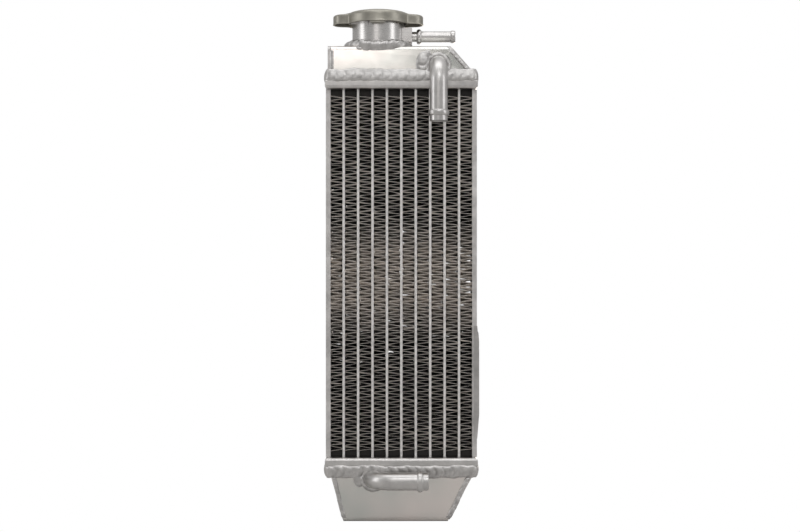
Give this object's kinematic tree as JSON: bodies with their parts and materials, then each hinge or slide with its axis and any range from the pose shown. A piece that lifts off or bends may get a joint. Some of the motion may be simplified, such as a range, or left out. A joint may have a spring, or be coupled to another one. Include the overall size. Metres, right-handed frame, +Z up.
{
  "type": "radiator",
  "caption": "Slim vertical welded aluminium radiator: tube and fin core between box tanks, front elbow hose pipes, side bracket and a turn-lock pressure cap on its filler neck.",
  "frame": {"origin": "point of the bottom tank's flat underside on the core's centre line, at mid depth", "axes": "+X to the right seen from the pipe side, towards the bracket; +Y to the rear, away from the pipes; +Z up, towards the filler cap"},
  "size_m": [0.1149, 0.0873, 0.3759],
  "materials": {
    "tank_sheet": "satin rolled sheet",
    "header_sheet": "brazed satin",
    "core_tube": "satin",
    "fin_strip": "thin rolled strip",
    "bracket_plate": "satin",
    "pipe": "drawn tube, satin",
    "machined": "turned",
    "weld_metal": "rippled weld",
    "plated_steel": "plated",
    "spring_steel": "oiled",
    "valve_brass": "pressed",
    "black_rubber": "moulded"
  },
  "bodies": {
    "root": {"top_tank_wrap": "tank_sheet", "top_tank_left_end": "tank_sheet", "top_tank_right_end": "tank_sheet", "bottom_tank_wrap": "tank_sheet", "bottom_tank_left_end": "tank_sheet", "bottom_tank_right_end": "tank_sheet", "top_header": "header_sheet", "bottom_header": "header_sheet", "tube_1": "core_tube", "tube_2": "core_tube", "tube_3": "core_tube", "tube_4": "core_tube", "tube_5": "core_tube", "tube_6": "core_tube", "tube_7": "core_tube", "tube_8": "core_tube", "tube_9": "core_tube", "side_plate_left": "core_tube", "side_plate_right": "core_tube", "fin_1": "fin_strip", "fin_2": "fin_strip", "fin_3": "fin_strip", "fin_4": "fin_strip", "fin_5": "fin_strip", "fin_6": "fin_strip", "fin_7": "fin_strip", "fin_8": "fin_strip", "fin_9": "fin_strip", "fin_10": "fin_strip", "mount_bracket": "bracket_plate", "inlet_pipe": "pipe", "outlet_pipe": "pipe", "filler_neck": "machined", "overflow_nipple": "machined", "top_header_weld": "weld_metal", "bottom_header_weld": "weld_metal", "top_end_welds": "weld_metal", "bottom_end_welds": "weld_metal", "neck_weld": "weld_metal", "inlet_weld": "weld_metal", "outlet_weld": "weld_metal", "bracket_welds": "weld_metal", "mount_collars": "plated_steel", "mount_grommets": "black_rubber"},
    "cap_carrier": {"cap_rivet": "plated_steel", "cap_spring_disc": "spring_steel", "cap_gasket": "black_rubber", "valve_cage": "valve_brass", "pressure_spring": "spring_steel"},
    "cap_shell": {"cap_cover": "plated_steel", "cap_lock_plate": "plated_steel"},
    "pressure_valve": {"pressure_valve": "valve_brass", "pressure_seal": "black_rubber", "vacuum_spring": "spring_steel"},
    "vacuum_valve": {"vacuum_valve": "valve_brass"}
  },
  "joints": [
    {"name": "cap_lift", "type": "slide", "parent": "root", "child": "cap_carrier", "axis": [0, 0, 1], "range_m": [0, 0.002]},
    {"name": "cap_turn", "type": "hinge", "parent": "cap_carrier", "child": "cap_shell", "pos_m": [-0.0171, 0, 0.36], "axis": [0, 0, 1], "range_deg": [0, 90]},
    {"name": "pressure_valve_lift", "type": "slide", "parent": "cap_carrier", "child": "pressure_valve", "axis": [0, 0, 1], "range_m": [0, 0.003], "stiffness_N_per_m": 2000, "deforming": ["pressure_spring"]},
    {"name": "vacuum_valve_drop", "type": "slide", "parent": "pressure_valve", "child": "vacuum_valve", "axis": [0, 0, -1], "range_m": [0, 0.0015], "stiffness_N_per_m": 150, "springref_m": -0.0005, "deforming": ["vacuum_spring"]}
  ],
  "couplings": [
    {"joint": "cap_turn", "follows": "cap_lift", "rad_per_m": 785.4}
  ]
}
